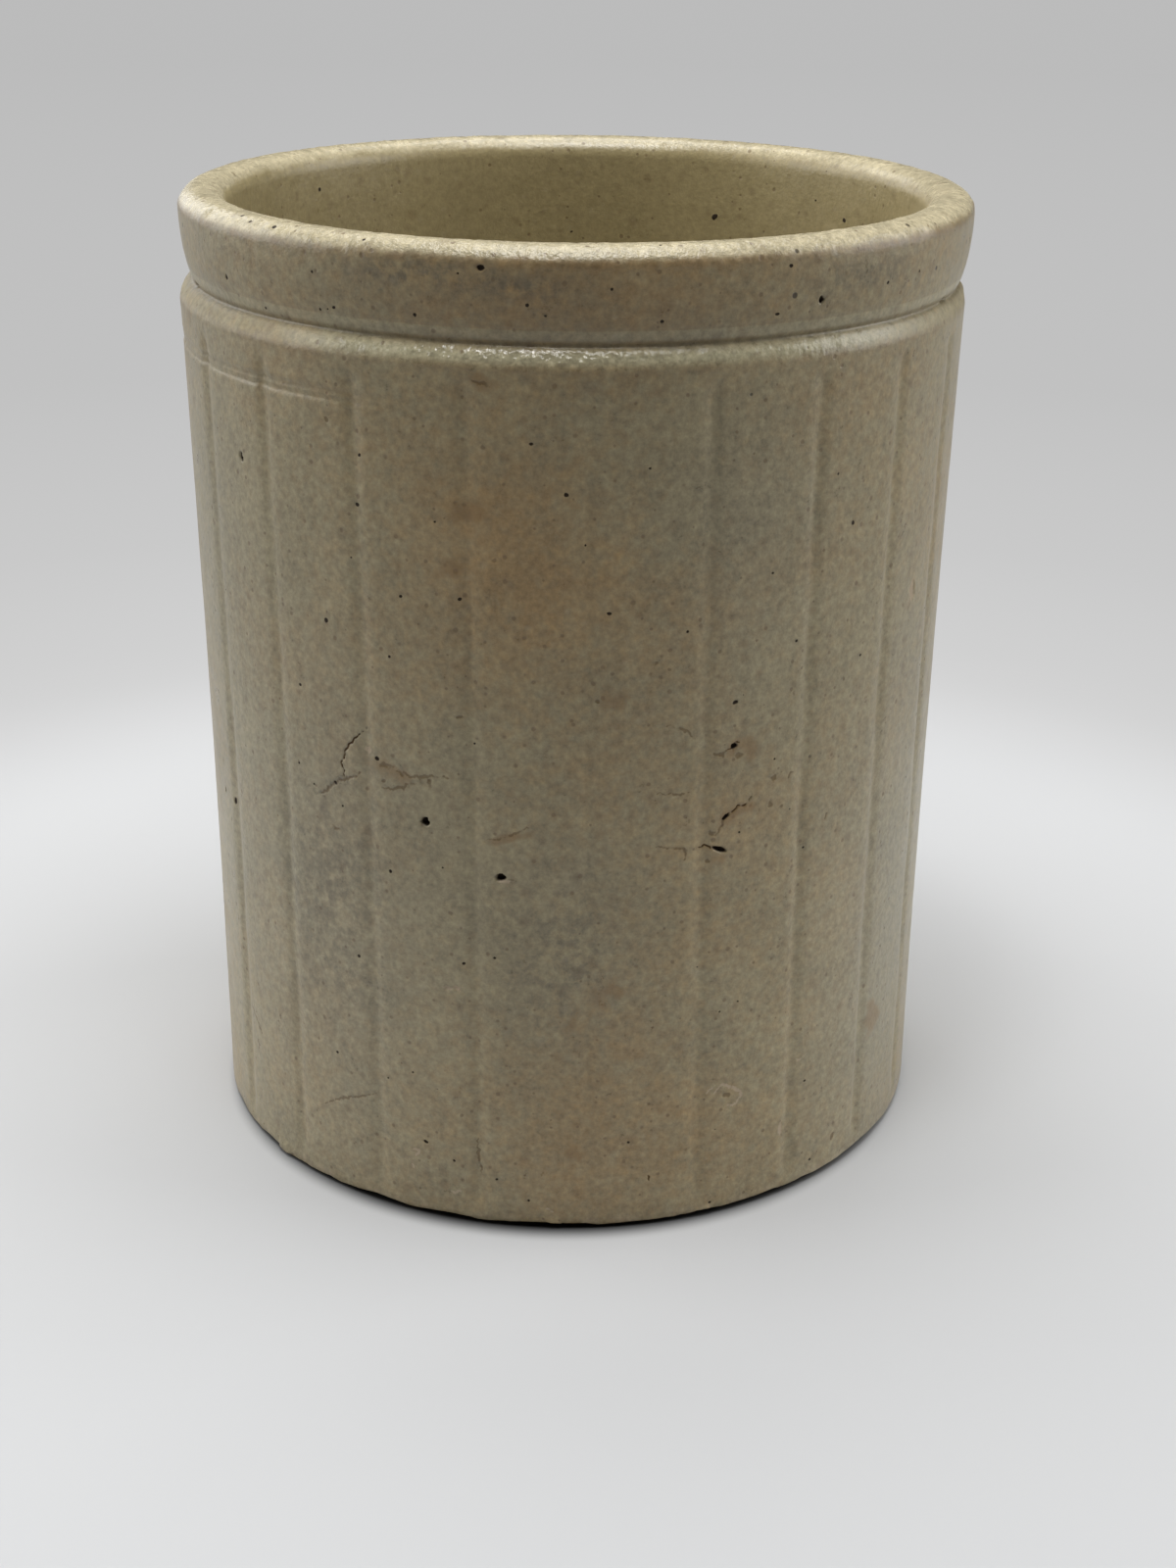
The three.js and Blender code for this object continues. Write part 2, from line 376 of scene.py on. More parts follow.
def lip():
    """Outer and inner rounding of the lip."""
    rounding = LIP_OUTER_RADIUS
    outer_centre = COLLAR_RADIUS - rounding * math.cos(math.radians(LIP_EDGE_ANGLE))
    outer = arc(outer_centre, POT_HEIGHT - rounding, rounding, LIP_EDGE_ANGLE, 90, 10)
    rounding = LIP_INNER_RADIUS
    inner_centre = COLLAR_RADIUS - RIM_THICKNESS + rounding
    return outer + arc(inner_centre, POT_HEIGHT - rounding, rounding, 90, 180, 11)


def inside():
    """Inside wall, floor fillet and floor, down and back to the axis."""
    mouth = COLLAR_RADIUS - RIM_THICKNESS
    at_floor = wall_radius(FLOOR_THICKNESS) - WALL_THICKNESS
    high, low = POT_HEIGHT - LIP_INNER_RADIUS, FLOOR_THICKNESS + FLOOR_FILLET
    wall = [
        (at_floor + (mouth - at_floor) * (height - low) / (high - low), height)
        for height in rising(high, low, INSIDE_ROW_SPACING)[1:-1]
    ]
    level_radius = at_floor - FLOOR_FILLET
    fillet = arc(level_radius, low, FLOOR_FILLET, 0, -90, 8)
    level = [(level_radius * share, FLOOR_THICKNESS) for share in (0.75, 0.5, 0.25, 0.0)]
    return wall + fillet + level


def turned_section():
    """The whole section, from the axis below to the axis above the floor."""
    rim = lip()
    collar = shoulder_and_collar(rim[0])
    corner = eased(collar[-3], rim[0], rim[3], RIM_CORNER_ROUND)
    return underside() + outside_wall() + collar[:-3] + corner + rim[4:] + inside()


section = turned_section()
section_mesh = bpy.data.meshes.new("pot_stoneware")
section_mesh.from_pydata(
    [(radius, 0.0, height) for radius, height in section],
    [(row, row + 1) for row in range(len(section) - 1)],
    [],
)
pot = bpy.data.objects.new("pot_stoneware", section_mesh)
bpy.context.scene.collection.objects.link(pot)


class Flow:
    """An output in a node tree. Plain arithmetic on it adds the nodes of a sum."""

    def __init__(self, socket):
        self.socket = socket
        self.tree = socket.id_data

    def __add__(self, other):
        return reckon("ADD", self, other)

    def __radd__(self, other):
        return reckon("ADD", other, self)

    def __sub__(self, other):
        return reckon("SUBTRACT", self, other)

    def __rsub__(self, other):
        return reckon("SUBTRACT", other, self)

    def __mul__(self, other):
        return reckon("MULTIPLY", self, other)

    def __truediv__(self, other):
        return reckon("DIVIDE", self, other)

    def __rtruediv__(self, other):
        return reckon("DIVIDE", other, self)


def feed_socket(socket, feed):
    """Feeds one input with a flow or a plain value."""
    if isinstance(feed, Flow):
        feed.tree.links.new(feed.socket, socket)
    elif feed is not None:
        socket.default_value = feed


def add_node(tree, kind, feeds=(), **settings):
    """Adds a node, sets it up, and feeds its inputs in order."""
    node = tree.nodes.new(kind)
    for name, value in settings.items():
        setattr(node, name, value)
    sockets = [socket for socket in node.inputs if socket.enabled]
    for socket, feed in zip(sockets, feeds):
        feed_socket(socket, feed)
    return node


def flow_from(tree, kind, feeds=(), **settings):
    """Adds a node and gives its first output."""
    return Flow(add_node(tree, kind, feeds, **settings).outputs[0])


def reckon(operation, *feeds):
    """The result of one sum."""
    tree = next(feed.tree for feed in feeds if isinstance(feed, Flow))
    return flow_from(tree, "ShaderNodeMath", feeds, operation=operation)


def split(vector):
    """The three numbers of a vector."""
    node = add_node(vector.tree, "ShaderNodeSeparateXYZ", (vector,))
    return [Flow(output) for output in node.outputs]


def ramp(value, start, end, low=0.0, high=1.0):
    """A soft step from low to high as value goes from start to end."""
    feeds = (value, start, end, low, high)
    return flow_from(value.tree, "ShaderNodeMapRange", feeds, interpolation_type="SMOOTHSTEP")


def bell(value, centre, width):
    """A bump of height 1 about centre, width being its spread."""
    off = (value - centre) / width
    return reckon("EXPONENT", off * off * -0.5)


def waves_at(place, scale, detail=2.0, roughness=0.5, distortion=0.0):
    """Noise of a fineness, from 0 to 1."""
    node = add_node(place.tree, "ShaderNodeTexNoise", (place, scale, detail, roughness))
    node.inputs["Distortion"].default_value = distortion
    return Flow(node.outputs[0])


SOCKET_KINDS = {
    int: "NodeSocketInt",
    float: "NodeSocketFloat",
    tuple: "NodeSocketVector",
    bpy.types.Material: "NodeSocketMaterial",
}
glaze = bpy.data.materials.new("salt_grey_glaze")
FLUTING_SIZES = {
    "Columns per Flute": COLUMNS_PER_FLUTE,
    "Flutes": 22,
    "First Flute": math.radians(3.5),
    "Crowding": 0.4,
    "Flute Depth": 0.00026,
    "Flute Spread": 0.00052,
    "Flute Foot": 0.0012,
    "Flute Top": shoulder_height - 0.0004,
    "Run Out": 0.0022,
    "Twist": math.radians(0.6),
    "Unevenness": 0.00012,
    "Collar Shift": 0.00032,
    "Foot Tilt": 0.00022,
    "Foot Unevenness": 0.00110,
    "Scored Line": 0.00016,
    "Lip Unevenness": 0.00020,
    "Finish": glaze,
}


def name_inputs(tree, sizes):
    """Gives a node tree its named inputs, each of the kind of its value."""
    for name, value in sizes.items():
        kind = SOCKET_KINDS[type(value)]
        tree.interface.new_socket(name, in_out="INPUT", socket_type=kind).default_value = value


def fluting_tree():
    """Turns the section about the axis and presses the flutes and the hand-made unevenness in."""
    tree = bpy.data.node_groups.new("turn_and_flute", "GeometryNodeTree")
    tree.interface.new_socket("Section", in_out="INPUT", socket_type="NodeSocketGeometry")
    name_inputs(tree, FLUTING_SIZES)
    tree.interface.new_socket("Pot", in_out="OUTPUT", socket_type="NodeSocketGeometry")
    given = {socket.name: Flow(socket) for socket in tree.nodes.new("NodeGroupInput").outputs}

    # Grid of one row for each point of the section
    counted = add_node(tree, "GeometryNodeAttributeDomainSize", (given["Section"],))
    rows = Flow(counted.outputs["Point Count"])
    columns = given["Columns per Flute"] * given["Flutes"] + 1
    grid = flow_from(tree, "GeometryNodeMeshGrid", (1.0, 1.0, columns, rows))
    position = flow_from(tree, "GeometryNodeInputPosition")
    grid_across, grid_up, _ = split(position)
    row = reckon("ROUND", (grid_up + 0.5) * (rows - 1))
    point = add_node(tree, "GeometryNodeSampleIndex", data_type="FLOAT_VECTOR", domain="POINT")
    feed_socket(point.inputs["Geometry"], given["Section"])
    feed_socket(point.inputs["Value"], position)
    feed_socket(point.inputs["Index"], row)
    radius, _, height = split(Flow(point.outputs[0]))

    # Columns crowd together about the middle of each flute
    turn = (grid_across + 0.5) * given["Flutes"]
    flute = reckon("ROUND", turn)
    off = turn - flute
    spread = reckon("POWER", reckon("ABSOLUTE", off) * 2, 2)
    off = off * (given["Crowding"] + spread * (1 - given["Crowding"]))
    pitch = math.tau / given["Flutes"]
    angle = (flute + off) * pitch + given["First Flute"]

    # The wall is twisted a little towards the viewer's right
    side = reckon("SINE", angle - math.radians(10)) + 1
    climb = 1 - height / (shoulder_height / 2)
    angle = angle + side * climb * given["Twist"]

    # Flutes
    outside = ramp(radius, INSIDE_UP_TO, OUTSIDE_FROM)
    across = off * pitch * radius
    hollow = bell(across, 0.0, given["Flute Spread"])
    from_foot = ramp(height, given["Flute Foot"], given["Flute Foot"] + given["Run Out"])
    to_top = ramp(height, given["Flute Top"] - given["Run Out"], given["Flute Top"], 1.0, 0.0)
    own_number = reckon("MODULO", flute, given["Flutes"])
    along = flow_from(tree, "ShaderNodeCombineXYZ", (own_number, height * 60.0, 0.0))
    worn = ramp(waves_at(along, 1.7), 0.3, 0.7, 0.7, 1.25)
    flutes = from_foot * to_top * (hollow * worn)
    pressed = flutes * given["Flute Depth"]

    # Two lines scored under the shoulder, on the left, that fade towards the front
    line_end, line_full = (math.sin(math.radians(degrees)) for degrees in SCORED_LINES_FADE)
    leftwards = ramp(reckon("SINE", angle), line_end, line_full)
    frontal = ramp(reckon("COSINE", angle), -0.5, 0.1)
    upper, lower = (
        bell(height, shoulder_height - below, SCORED_LINE_WIDTH) for below in SCORED_LINES_BELOW
    )
    lines = (upper + lower) * (leftwards * frontal)
    pressed = (pressed + lines * given["Scored Line"]) * outside

    # Hand-made unevenness
    direction = (reckon("SINE", angle), reckon("COSINE", angle) * -1, 0.0)
    direction = flow_from(tree, "ShaderNodeCombineXYZ", direction)
    spot = (direction, None, None, radius)
    spot = flow_from(tree, "ShaderNodeVectorMath", spot, operation="SCALE")
    lifted = flow_from(tree, "ShaderNodeCombineXYZ", (0.0, 0.0, height))
    spot = flow_from(tree, "ShaderNodeVectorMath", (spot, lifted), operation="ADD")
    wobble = waves_at(spot, 90.0, 3.0, 0.55) - NOISE_MIDDLE
    wobble = wobble * given["Unevenness"] * ramp(radius, 0.004, 0.03)
    radius = radius - pressed + wobble

    # Lip and shoulder are lumpy with thick glaze
    on_lip = ramp(height, POT_HEIGHT - 0.0032, POT_HEIGHT - 0.0018)
    thick = on_lip + bell(height, shoulder_height + 0.001, 0.0008)
    lumps = (waves_at(spot, 330.0, 1.0) - NOISE_MIDDLE) * (thick * given["Lip Unevenness"])
    radius = radius + lumps * outside
    height = height + lumps

    # The foot's edge is uneven, and the collar stands a little to the right of the wall
    foot_edge = ramp(height, 0.0001, 0.0005) * ramp(height, 0.0008, 0.0030, 1.0, 0.0)
    tilt = reckon("SINE", angle) * given["Foot Tilt"]
    wave = (waves_at(direction, 6.5, 3.0, 0.6) - 0.5) * given["Foot Unevenness"]
    height = height + (tilt + wave) * foot_edge * outside
    shift_from = INSIDE_SHIFT_FROM + outside * (groove_height - 0.002 - INSIDE_SHIFT_FROM)
    shift = ramp(height, shift_from, groove_height + 0.001) * given["Collar Shift"]
    east = radius * reckon("SINE", angle) + shift
    south = radius * reckon("COSINE", angle) * -1
    final = flow_from(tree, "ShaderNodeCombineXYZ", (east, south, height))

    # Placing, closing and finishing
    shape = flow_from(tree, "GeometryNodeSetPosition", (grid, None, final))
    shape = flow_from(tree, "GeometryNodeMergeByDistance", (shape, None, SEAM_GAP))
    shape = flow_from(tree, "GeometryNodeSetShadeSmooth", (shape,))
    shape = flow_from(tree, "GeometryNodeRealizeInstances", (shape,))
    shape = flow_from(tree, "GeometryNodeSetMaterial", (shape, None, given["Finish"]))
    add_node(tree, "NodeGroupOutput", (shape,))
    return tree


fluting = pot.modifiers.new("turn_and_flute", "NODES")
fluting.node_group = fluting_tree()
sockets = {
    item.name: item.identifier
    for item in fluting.node_group.interface.items_tree
    if item.in_out == "INPUT"
}
for name, value in FLUTING_SIZES.items():
    fluting[sockets[name]] = value
bpy.context.view_layer.update()
shaped = pot.evaluated_get(bpy.context.evaluated_depsgraph_get())
pot.data = bpy.data.meshes.new_from_object(shaped)
pot.modifiers.clear()
pot.data.name = "pot_stoneware"


# Pot, marks of kiln and use
# Grit burnt out of the clay, blisters, short cracks, chips and stains. The mesh is refined
# round each and pressed in or raised, and its corners keep what kind of mark it is. A spot
# is (degrees from the front, height, half width, half height, lean, depth if any), in mm.

PITS = (
    (-20.0, 44.1, 0.38, 0.48, 0, 1.20), (-9.0, 39.2, 0.48, 0.36, 0, 1.10),
    (-52.0, 76.7, 0.24, 0.50, 10, 0.60), (34.5, 93.7, 0.26, 0.34, 0, 0.60),
    (22.5, 41.3, 0.90, 0.25, -22, 0.80), (23.2, 44.7, 0.44, 0.20, 30, 0.60),
    (24.1, 51.9, 0.30, 0.28, 20, 0.60), (24.0, 56.4, 0.25, 0.25, 0, 0.20),
    (-35.0, 46.2, 0.20, 0.20, 0, 0.15), (-27.5, 49.8, 0.24, 0.20, 0, 0.18),
    (-25.8, 38.2, 0.18, 0.18, 0, 0.15), (-62.8, 38.1, 0.22, 0.44, 0, 0.20),
    (-67.2, 38.3, 0.22, 0.40, 0, 0.20), (-10.8, 97.3, 0.38, 0.24, 0, 0.30),
    (-54.5, 93.3, 0.20, 0.34, 0, 0.20), (-21.0, 8.5, 0.26, 0.18, -20, 0.15),
    (75.0, 95.3, 0.18, 0.62, 14, 0.12),
)
# A speck is (angle, height, half width), on the lip (angle, radius, half width)
SPECKS = (
    (-4.5, 81.9, 0.20), (0.0, 77.3, 0.22), (10.8, 79.7, 0.16), (5.8, 66.1, 0.18),
    (16.5, 64.0, 0.17), (29.0, 68.7, 0.17), (42.8, 72.1, 0.22), (39.2, 77.2, 0.16),
    (46.5, 58.2, 0.16), (-35.2, 62.8, 0.22), (-29.2, 74.8, 0.22), (-28.5, 79.5, 0.18),
    (-30.5, 69.6, 0.16), (-14.3, 67.0, 0.19), (-22.8, 66.6, 0.18), (-24.8, 60.5, 0.16),
    (-60.5, 61.7, 0.16), (-17.5, 39.6, 0.13), (-14.5, 29.5, 0.17), (-10.0, 30.5, 0.16),
    (19.8, 28.8, 0.16), (26.5, 24.2, 0.16), (23.5, 23.5, 0.16), (39.8, 12.5, 0.17),
    (9.8, 9.9, 0.16), (-5.0, 3.2, 0.16), (-9.8, 5.4, 0.16), (42.0, 2.5, 0.16),
    (-36.8, 15.9, 0.18), (-27.2, 14.9, 0.16), (-23.0, 16.3, 0.16), (-42.2, 47.0, 0.15),
    (-13.8, 96.7, 0.20), (-5.0, 94.2, 0.16), (-2.8, 93.3, 0.16), (5.5, 95.7, 0.18),
    (12.0, 92.7, 0.17), (27.8, 92.8, 0.18), (29.2, 97.0, 0.17), (53.8, 94.7, 0.20),
    (46.5, 94.3, 0.16), (-35.2, 95.6, 0.18), (2.5, 72.6, 0.14), (-17.5, 74.2, 0.14),
    (33.5, 61.5, 0.15), (-41.0, 55.4, 0.15), (-12.6, 52.8, 0.14), (13.2, 36.4, 0.15),
    (-31.8, 27.9, 0.15), (37.2, 39.4, 0.15), (-34.6, 92.2, 0.17), (-33.3, 92.4, 0.13),
    (-32.2, 92.6, 0.15), (-45.8, 91.3, 0.16), (-20.0, 92.8, 0.17), (-39.2, 45.3, 0.14),
    (-33.8, 43.9, 0.14), (25.2, 57.0, 0.12), (30.8, 49.8, 0.13), (34.0, 44.1, 0.13),
    (25.5, 42.8, 0.15), (23.5, 10.0, 0.14), (23.0, 1.4, 0.15), (-16.5, 6.9, 0.15),
    (-19.0, 14.9, 0.13),
)
INSIDE_SPECKS = (
    (153.2, 91.0, 0.30), (123.2, 92.6, 0.24), (234.0, 95.2, 0.22), (181.0, 88.6, 0.20),
    (131.0, 94.2, 0.16),
)
LIP_SPECKS = (
    (-52.0, 38.3, 0.24), (-48.8, 38.9, 0.20), (-43.2, 39.0, 0.22), (64.0, 38.1, 0.20),
    (-27.5, 39.0, 0.18), (12.0, 38.6, 0.16),
)
GRIME = (
    (-25.5, 49.4, 0.60, 0.26, 20), (-23.4, 48.7, 0.50, 0.24, -35), (-20.4, 48.3, 0.24, 0.46, 0),
    (-19.2, 48.4, 0.20, 0.50, 0), (-21.8, 47.9, 0.42, 0.20, 30), (-26.4, 47.6, 0.18, 0.16, 0),
    (22.0, 51.3, 0.42, 0.26, 0), (25.0, 50.8, 0.36, 0.46, 30), (31.0, 48.0, 0.50, 0.38, 0),
    (30.8, 45.1, 0.44, 0.28, 0), (32.2, 44.6, 0.20, 0.18, 0), (21.2, 43.0, 0.28, 0.42, 10),
    (20.8, 40.3, 0.18, 0.28, 0), (12.8, 46.9, 0.28, 0.22, 0), (11.8, 44.7, 0.20, 0.18, 0),
    (-35.2, 41.4, 0.36, 0.28, -20), (12.2, 60.9, 0.30, 0.24, 0), (41.2, 42.1, 0.34, 0.16, 60),
    (25.2, 13.8, 0.34, 0.30, 0), (4.4, 57.5, 0.22, 0.20, 0), (47.2, 4.0, 0.46, 0.20, 60),
    (12.8, 14.2, 0.30, 0.16, -40), (-33.5, 82.4, 0.34, 0.16, -50), (-14.5, 55.3, 0.22, 0.18, 0),
)
RUST = (
    (1.8, 8.6, 0.80, 0.60, 0), (6.2, 27.1, 1.30, 0.80, 30), (1.5, 23.9, 0.90, 1.00, 0),
    (57.2, 15.8, 1.20, 1.60, 0), (25.2, 51.6, 1.10, 0.90, 0), (-24.0, 48.8, 2.30, 0.70, -10),
    (25.0, 44.9, 1.60, 0.50, 20), (-11.0, 87.3, 1.10, 0.60, 0), (6.8, 57.8, 1.05, 0.80, 0),
    (22.3, 40.4, 1.20, 0.40, 10), (-8.0, 43.4, 1.60, 0.30, 15), (-12.0, 75.5, 1.40, 0.80, 20),
    (-15.5, 70.0, 1.20, 0.70, 0),
)
CHIPS = (
    (-16.5, 26.5, 0.60, 0.45, 0, 0.12), (35.2, 7.9, 0.35, 0.70, 0, 0.10),
    (60.3, 62.6, 0.45, 0.80, 0, 0.12), (-9.0, 38.8, 0.62, 0.22, 0, 0.04),
    (-29.0, 50.4, 0.28, 0.40, 0, 0.05), (38.6, 15.2, 0.40, 0.30, 0, 0.05),
)
# A line is (kind, half width, depth, its points as angle and height)
LINES = (
    (
        "crack", 0.125, 0.20,
        ((-29.2, 52.6), (-30.2, 52.2), (-31.3, 51.3), (-32.5, 50.4), (-33.0, 49.7),
         (-33.5, 48.5), (-33.2, 47.0)),
    ),
    ("crack", 0.12, 0.20, ((27.2, 46.3), (26.0, 45.6), (25.0, 45.5), (24.5, 45.1), (23.2, 44.7))),
    ("crack", 0.12, 0.18, ((19.0, 41.6), (20.0, 41.8), (21.0, 41.7), (22.2, 41.4))),
    ("crack", 0.12, 0.10, ((25.0, 52.3), (24.2, 52.4), (24.0, 51.8), (23.2, 51.6))),
    ("crack", 0.12, 0.06, ((12.7, 5.9), (13.3, 5.2))),
    (
        "grime", 0.20, 0.12,
        ((-38.8, 44.4), (-37.2, 44.7), (-36.5, 45.3), (-35.2, 46.1), (-33.5, 46.8),
         (-32.0, 47.2), (-30.5, 47.8)),
    ),
    ("grime", 0.16, 0.06, ((23.2, 44.7), (22.8, 43.9), (22.2, 43.2), (21.4, 42.8))),
    ("grime", 0.18, 0.05, ((23.2, 51.7), (22.0, 51.3), (21.0, 51.4))),
    ("grime", 0.15, 0.05, ((-24.0, 49.2), (-22.2, 48.6), (-19.8, 48.9), (-16.2, 49.1))),
    ("grime", 0.16, 0.04, ((-26.8, 47.0), (-25.0, 46.9), (-23.2, 47.5), (-22.0, 48.0))),
    ("grime", 0.15, 0.05, ((-39.8, 9.2), (-36.8, 10.5), (-33.8, 11.4), (-29.5, 12.6))),
    ("grime", 0.15, 0.04, ((-60.5, 15.3), (-58.6, 14.2), (-56.5, 12.6))),
    ("grime", 0.14, 0.03, ((33.2, 47.5), (34.2, 48.0))),
    ("grime", 0.13, 0.03, ((13.0, 47.9), (15.8, 47.7), (18.2, 47.7))),
    ("grime", 0.15, 0.04, ((13.0, 42.3), (15.0, 42.1), (17.2, 41.9), (17.2, 40.7))),
    ("grime", 0.14, 0.03, ((14.0, 54.8), (16.8, 54.1), (17.8, 53.3))),
    ("grime", 0.14, 0.03, ((-10.8, 43.2), (-9.0, 43.2), (-7.0, 43.9), (-4.5, 44.8))),
    ("grime", 0.15, 0.05, ((-12.2, 87.5), (-9.8, 86.9))),
    ("grime", 0.14, 0.04, ((-12.8, 9.8), (-12.8, 7.9), (-12.2, 5.6))),
    (
        "bare", 0.20, 0.04,
        ((23.2, 14.1), (23.8, 14.9), (25.2, 15.0), (26.5, 14.4), (27.8, 13.4), (27.0, 12.6),
         (25.5, 12.4)),
    ),
    ("bare", 0.15, 0.03, ((22.8, 15.0), (22.0, 14.3))),
    ("bare", 0.16, 0.03, ((-23.2, 7.4), (-22.2, 7.3), (-22.8, 6.6))),
    ("bare", 0.16, 0.03, ((-17.2, 3.4), (-16.5, 3.1), (-15.5, 3.4))),
    ("bare", 0.16, 0.03, ((-23.5, 5.5), (-23.0, 5.1))),
    ("bare", 0.18, 0.03, ((-2.5, 2.3), (-1.5, 2.1))),
    ("bare", 0.16, 0.05, ((60.6, 63.6), (60.0, 62.0), (58.8, 60.8))),
)
# The last number is how far a lump stands out or a notch goes in
FOOT_LUMPS = (
    (-50.2, 0.7, 1.50, 0.45, 0.26), (-1.0, 0.7, 0.60, 0.35, 0.15), (22.0, 0.8, 0.7, 0.4, 0.12),
)
NOTCHES = (
    (-70.5, 90.6, 0.9, 0.25, 0.30), (66.5, 90.5, 0.8, 0.25, 0.30), (-60.0, 98.6, 0.8, 0.5, 0.20),
)

CLEAR_OUTSIDE, CLEAR_ABOVE = 0.06, 0.15
LINE_WANDER = 0.00022
LINE_FINENESS = (2500, 2100, 2900)
LINE_REACH = 0.00032
SPOT_MARGIN = 0.0002
SPOT_REACH = 2.2
PRESSED_UP_TO, PRESSED_OVER = 1.15, 0.5
STRAIGHT_ANGLE = math.radians(170)

body = bmesh.new()
body.from_mesh(pot.data)
bmesh.ops.recalc_face_normals(body, faces=body.faces)
skin = BVHTree.FromBMesh(body)
layers = {
    name: body.verts.layers.float.new(name)
    for name in ("iron", "rust", "bare", "grime", "crack", "lump")
}


def chart_corners():
    """A map for finding the mesh's corners by place."""
    body.verts.index_update()
    body.verts.ensure_lookup_table()
    chart = KDTree(len(body.verts))
    for corner in body.verts:
        chart.insert(corner.co, corner.index)
    chart.balance()
    return chart


def facing(angle):
    """Outwards from the axis, at an angle in degrees from the front."""
    return Vector((math.sin(math.radians(angle)), -math.cos(math.radians(angle)), 0.0))


def outside_spot(angle, height):
    """The place on the outside at an angle in degrees and a height in millimetres."""
    start = facing(angle) * CLEAR_OUTSIDE + Vector((0.0, 0.0, height / 1000))
    return skin.ray_cast(start, -facing(angle))[0]


def inside_spot(angle, height):
    """The place on the inside wall at an angle in degrees and a height in millimetres."""
    return skin.ray_cast(Vector((0.0, 0.0, height / 1000)), facing(angle))[0]


def lip_spot(angle, reach):
    """The place on top of the lip at an angle in degrees and millimetres from the axis."""
    start = facing(angle) * reach / 1000 + Vector((0.0, 0.0, CLEAR_ABOVE))
    return skin.ray_cast(start, Vector((0.0, 0.0, -1.0)))[0]


def around(spot, reach):
    """Corners of the mesh within reach of a spot."""
    return [body.verts[index] for _, index, _ in chart.find_range(spot, reach)]


def along_line(points, spacing=0.28):
    """Spots spaced along a line."""
    spots = []
    for (angle_a, height_a), (angle_b, height_b) in zip(points[:-1], points[1:]):
        around_wall = math.radians(angle_b - angle_a) * (UNROLLED_RADIUS * 1000)
        run = math.hypot(around_wall, height_b - height_a)
        steps = max(1, round(run / spacing))
        for step in range(steps):
            share = step / steps
            angle = angle_a + (angle_b - angle_a) * share
            spots.append((angle, height_a + (height_b - height_a) * share))
    return spots + [points[-1]]


dots = [(outside_spot(angle, height), angle, size) for angle, height, size in SPECKS]
dots += [(inside_spot(angle, height), angle, size) for angle, height, size in INSIDE_SPECKS]
dots += [(lip_spot(angle, reach), angle, size) for angle, reach, size in LIP_SPECKS]
fine_spots = [
    (outside_spot(*mark[:2]), max(mark[2:4]) / 1000 + SPOT_MARGIN) for mark in PITS + CHIPS + GRIME
]
fine_spots += [(spot, size / 1000 + SPOT_MARGIN) for spot, _, size in dots]
line_spots = [
    (outside_spot(*spot), LINE_REACH) for _, _, _, points in LINES for spot in along_line(points)
]
broad_spots = [
    (outside_spot(*mark[:2]), max(mark[2:4]) / 1000) for mark in RUST + FOOT_LUMPS + NOTCHES
]
all_spots = fine_spots + line_spots + broad_spots
for longest, margin, spots in (
    (0.0014, 0.0019, all_spots),
    (0.0007, 0.0008, all_spots),
    (0.00036, 0.00036, all_spots),
    (0.00019, 0.00018, fine_spots + line_spots),
    (0.00013, 0.00013, line_spots),
):
    chart = chart_corners()
    too_long = set()
    for spot, reach in spots:
        for corner in around(spot, reach + margin):
            edges = corner.link_edges
            too_long.update(edge for edge in edges if edge.calc_length() > longest)
    bmesh.ops.subdivide_edges(body, edges=list(too_long), cuts=1, use_grid_fill=True)

chart = chart_corners()


def ragged(place, fineness):
    """A number from about -0.5 to 0.5 that wanders over the surface."""
    return noise.noise(place * fineness)


def press_spot(spot, mark, kind, depth, ragging):
    """Presses a mark in by depth, or raises it. Its layer gets 1 at the middle, 0.5 at the edge."""
    angle, _, wide, high, lean = mark[:5]
    layer = layers[kind]
    sideways = Vector((math.cos(math.radians(angle)), math.sin(math.radians(angle)), 0.0))
    turn = math.radians(lean)
    for corner in around(spot, max(wide, high) / 1000 * SPOT_REACH):
        off = corner.co - spot
        across = off.dot(sideways) * 1000
        along = math.sqrt(max(0.0, off.length_squared * 1e6 - across * across))
        along = math.copysign(along, off.z)
        turned = across * math.cos(turn) + along * math.sin(turn)
        risen = along * math.cos(turn) - across * math.sin(turn)
        frayed = ragged(corner.co, 900 / max(wide, high, 0.4)) * ragging * 2
        far = math.hypot(turned / wide, risen / high) + frayed
        corner[layer] = max(corner[layer], min(1.0, max(0.0, 1.0 - far / 2)))
        share = min(1.0, max(0.0, (PRESSED_UP_TO - far) / PRESSED_OVER))
        if share > 0:
            deepest = max(moves.get(corner.index, 0.0), share * depth)
            moves[corner.index] = deepest if depth >= 0 else share * depth


def press_line(points, kind, half_width, depth):
    """Presses a wandering line in. Its layer gets 1 on the line, 0.5 at half_width beside it."""
    layer = layers[kind]
    spots = [outside_spot(*spot) for spot in along_line(points, 0.10)]
    for step, spot in enumerate(spots):
        wander = Vector([ragged(spot, fineness) for fineness in LINE_FINENESS]) * LINE_WANDER
        open_width = half_width * (0.55 + 0.45 * math.sin(math.pi * (step + 0.5) / len(spots)))
        for corner in around(spot + wander, open_width * 0.002):
            near_by = 1.0 - (corner.co - spot - wander).length * 1000 / open_width / 2
            corner[layer] = max(corner[layer], near_by)
            deep = max(0.0, near_by - 0.3) * 1.4 * depth
            moves[corner.index] = max(moves.get(corner.index, 0.0), deep)


